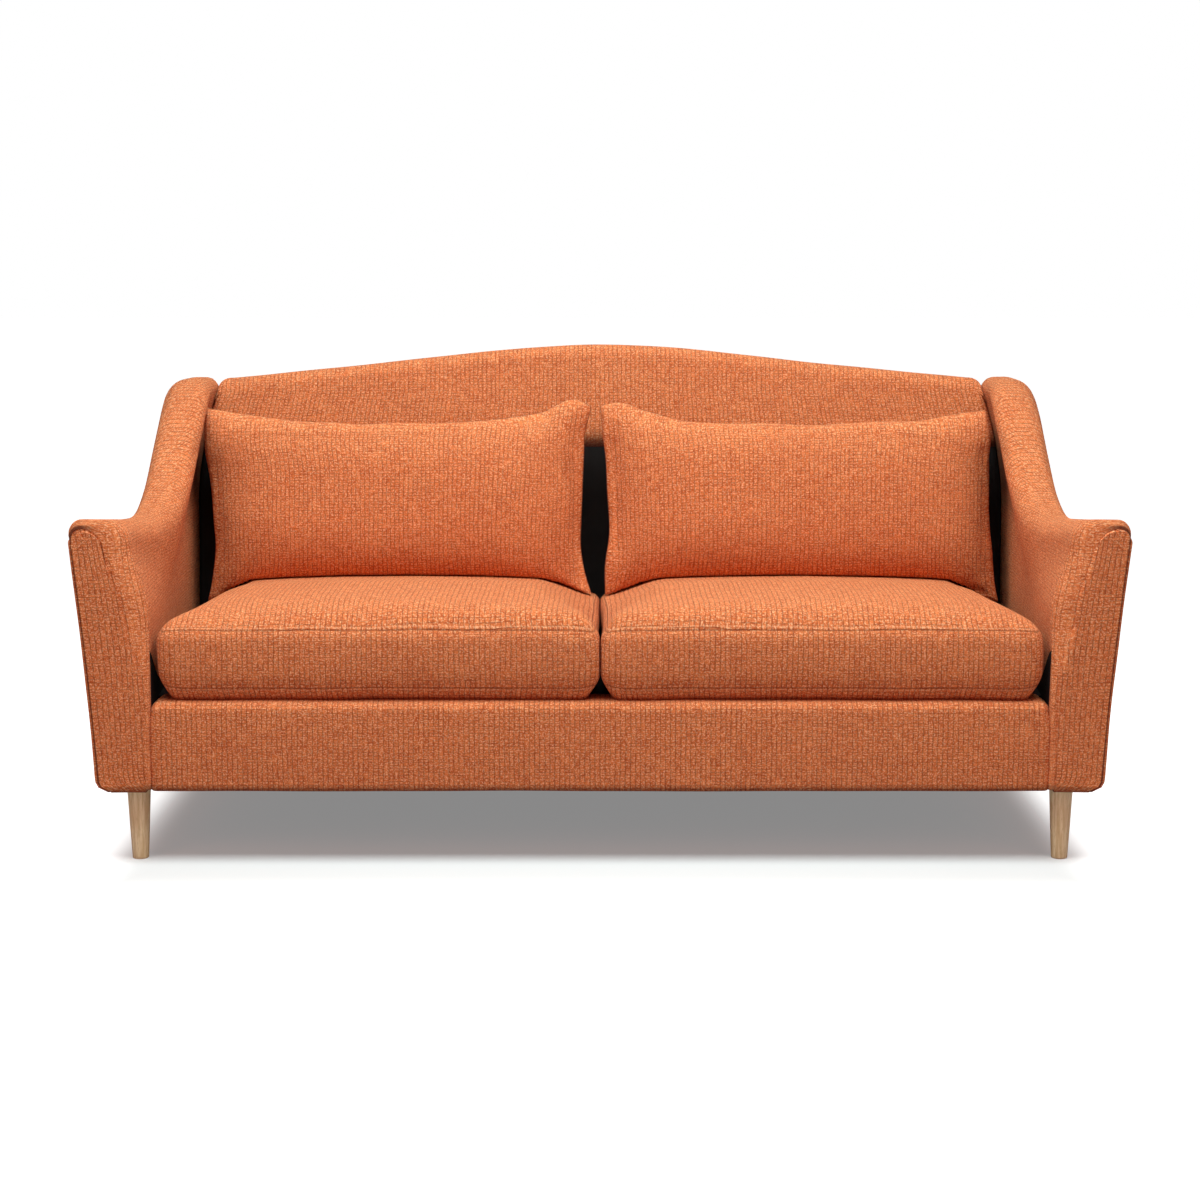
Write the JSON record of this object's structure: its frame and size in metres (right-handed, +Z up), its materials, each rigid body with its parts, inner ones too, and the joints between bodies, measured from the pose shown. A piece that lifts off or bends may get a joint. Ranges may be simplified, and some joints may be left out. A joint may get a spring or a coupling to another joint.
{
  "type": "camelback sofa",
  "caption": "Camelback sofa with loose seat cushions and back pillows, swooping winged arms and tapered wooden legs.",
  "frame": {"origin": "on the floor, at the centre of the sofa's box", "axes": "+X along the width towards the arm at the right of the picture, -Y towards the front, +Z up"},
  "size_m": [1.9956, 0.9, 0.958],
  "materials": {
    "cloth": "matte",
    "lining": "matte",
    "oak": "satin",
    "ply": "matte",
    "steel": "satin",
    "foam": "matte",
    "webbing": "matte"
  },
  "bodies": {
    "sofa_frame": {"seat_rail_front": "ply", "seat_rail_back": "ply", "seat_rail_left": "ply", "seat_rail_right": "ply", "seat_stretcher": "ply", "back_upright": "ply", "back_top_rail": "ply", "back_lower_rail": "ply", "back_webbing": "webbing", "seat_deck": "lining", "dust_cover": "lining", "front_rail_cover": "cloth", "inside_back_cover": "cloth", "outside_back_panel": "cloth", "arm_board_left": "ply", "arm_front_post_left": "ply", "back_post_left": "ply", "arm_cover_left": "cloth", "outside_arm_left": "cloth", "corner_block_front_left": "ply", "leg_front_left": "oak", "leg_bolt_front_left": "steel", "corner_block_rear_left": "ply", "leg_rear_left": "oak", "leg_bolt_rear_left": "steel", "arm_board_right": "ply", "arm_front_post_right": "ply", "back_post_right": "ply", "arm_cover_right": "cloth", "outside_arm_right": "cloth", "corner_block_front_right": "ply", "leg_front_right": "oak", "leg_bolt_front_right": "steel", "corner_block_rear_right": "ply", "leg_rear_right": "oak", "leg_bolt_rear_right": "steel", "seat_spring_1": "steel", "seat_spring_2": "steel", "seat_spring_3": "steel", "seat_spring_4": "steel", "seat_spring_5": "steel", "seat_spring_6": "steel", "seat_spring_7": "steel", "seat_spring_8": "steel", "seat_spring_9": "steel", "seat_spring_10": "steel"},
    "seat_cushion_left": {"seat_cushion_cover_left": "cloth", "seat_cushion_core_left": "foam"},
    "back_cushion_left": {"back_cushion_cover_left": "cloth", "back_cushion_pad_left": "foam"},
    "seat_zip_left": {"seat_zip_slider_left": "steel"},
    "back_zip_left": {"back_zip_slider_left": "steel"},
    "seat_cushion_right": {"seat_cushion_cover_right": "cloth", "seat_cushion_core_right": "foam"},
    "back_cushion_right": {"back_cushion_cover_right": "cloth", "back_cushion_pad_right": "foam"},
    "seat_zip_right": {"seat_zip_slider_right": "steel"},
    "back_zip_right": {"back_zip_slider_right": "steel"}
  },
  "joints": [
    {"name": "seat_cushion_left_pull", "type": "slide", "parent": "sofa_frame", "child": "seat_cushion_left", "axis": [0, -1, 0], "range_m": [0, 0.8]},
    {"name": "back_cushion_left_lift", "type": "slide", "parent": "sofa_frame", "child": "back_cushion_left", "axis": [0, -0.6, 0.8], "range_m": [0, 0.65]},
    {"name": "seat_zip_left_slide", "type": "slide", "parent": "seat_cushion_left", "child": "seat_zip_left", "axis": [-1, 0, 0], "range_m": [0, 0.545]},
    {"name": "back_zip_left_slide", "type": "slide", "parent": "back_cushion_left", "child": "back_zip_left", "axis": [-1, 0, 0], "range_m": [0, 0.365]},
    {"name": "seat_cushion_right_pull", "type": "slide", "parent": "sofa_frame", "child": "seat_cushion_right", "axis": [0, -1, 0], "range_m": [0, 0.8]},
    {"name": "back_cushion_right_lift", "type": "slide", "parent": "sofa_frame", "child": "back_cushion_right", "axis": [0, -0.6, 0.8], "range_m": [0, 0.65]},
    {"name": "seat_zip_right_slide", "type": "slide", "parent": "seat_cushion_right", "child": "seat_zip_right", "axis": [1, 0, 0], "range_m": [0, 0.545]},
    {"name": "back_zip_right_slide", "type": "slide", "parent": "back_cushion_right", "child": "back_zip_right", "axis": [1, 0, 0], "range_m": [0, 0.365]}
  ]
}
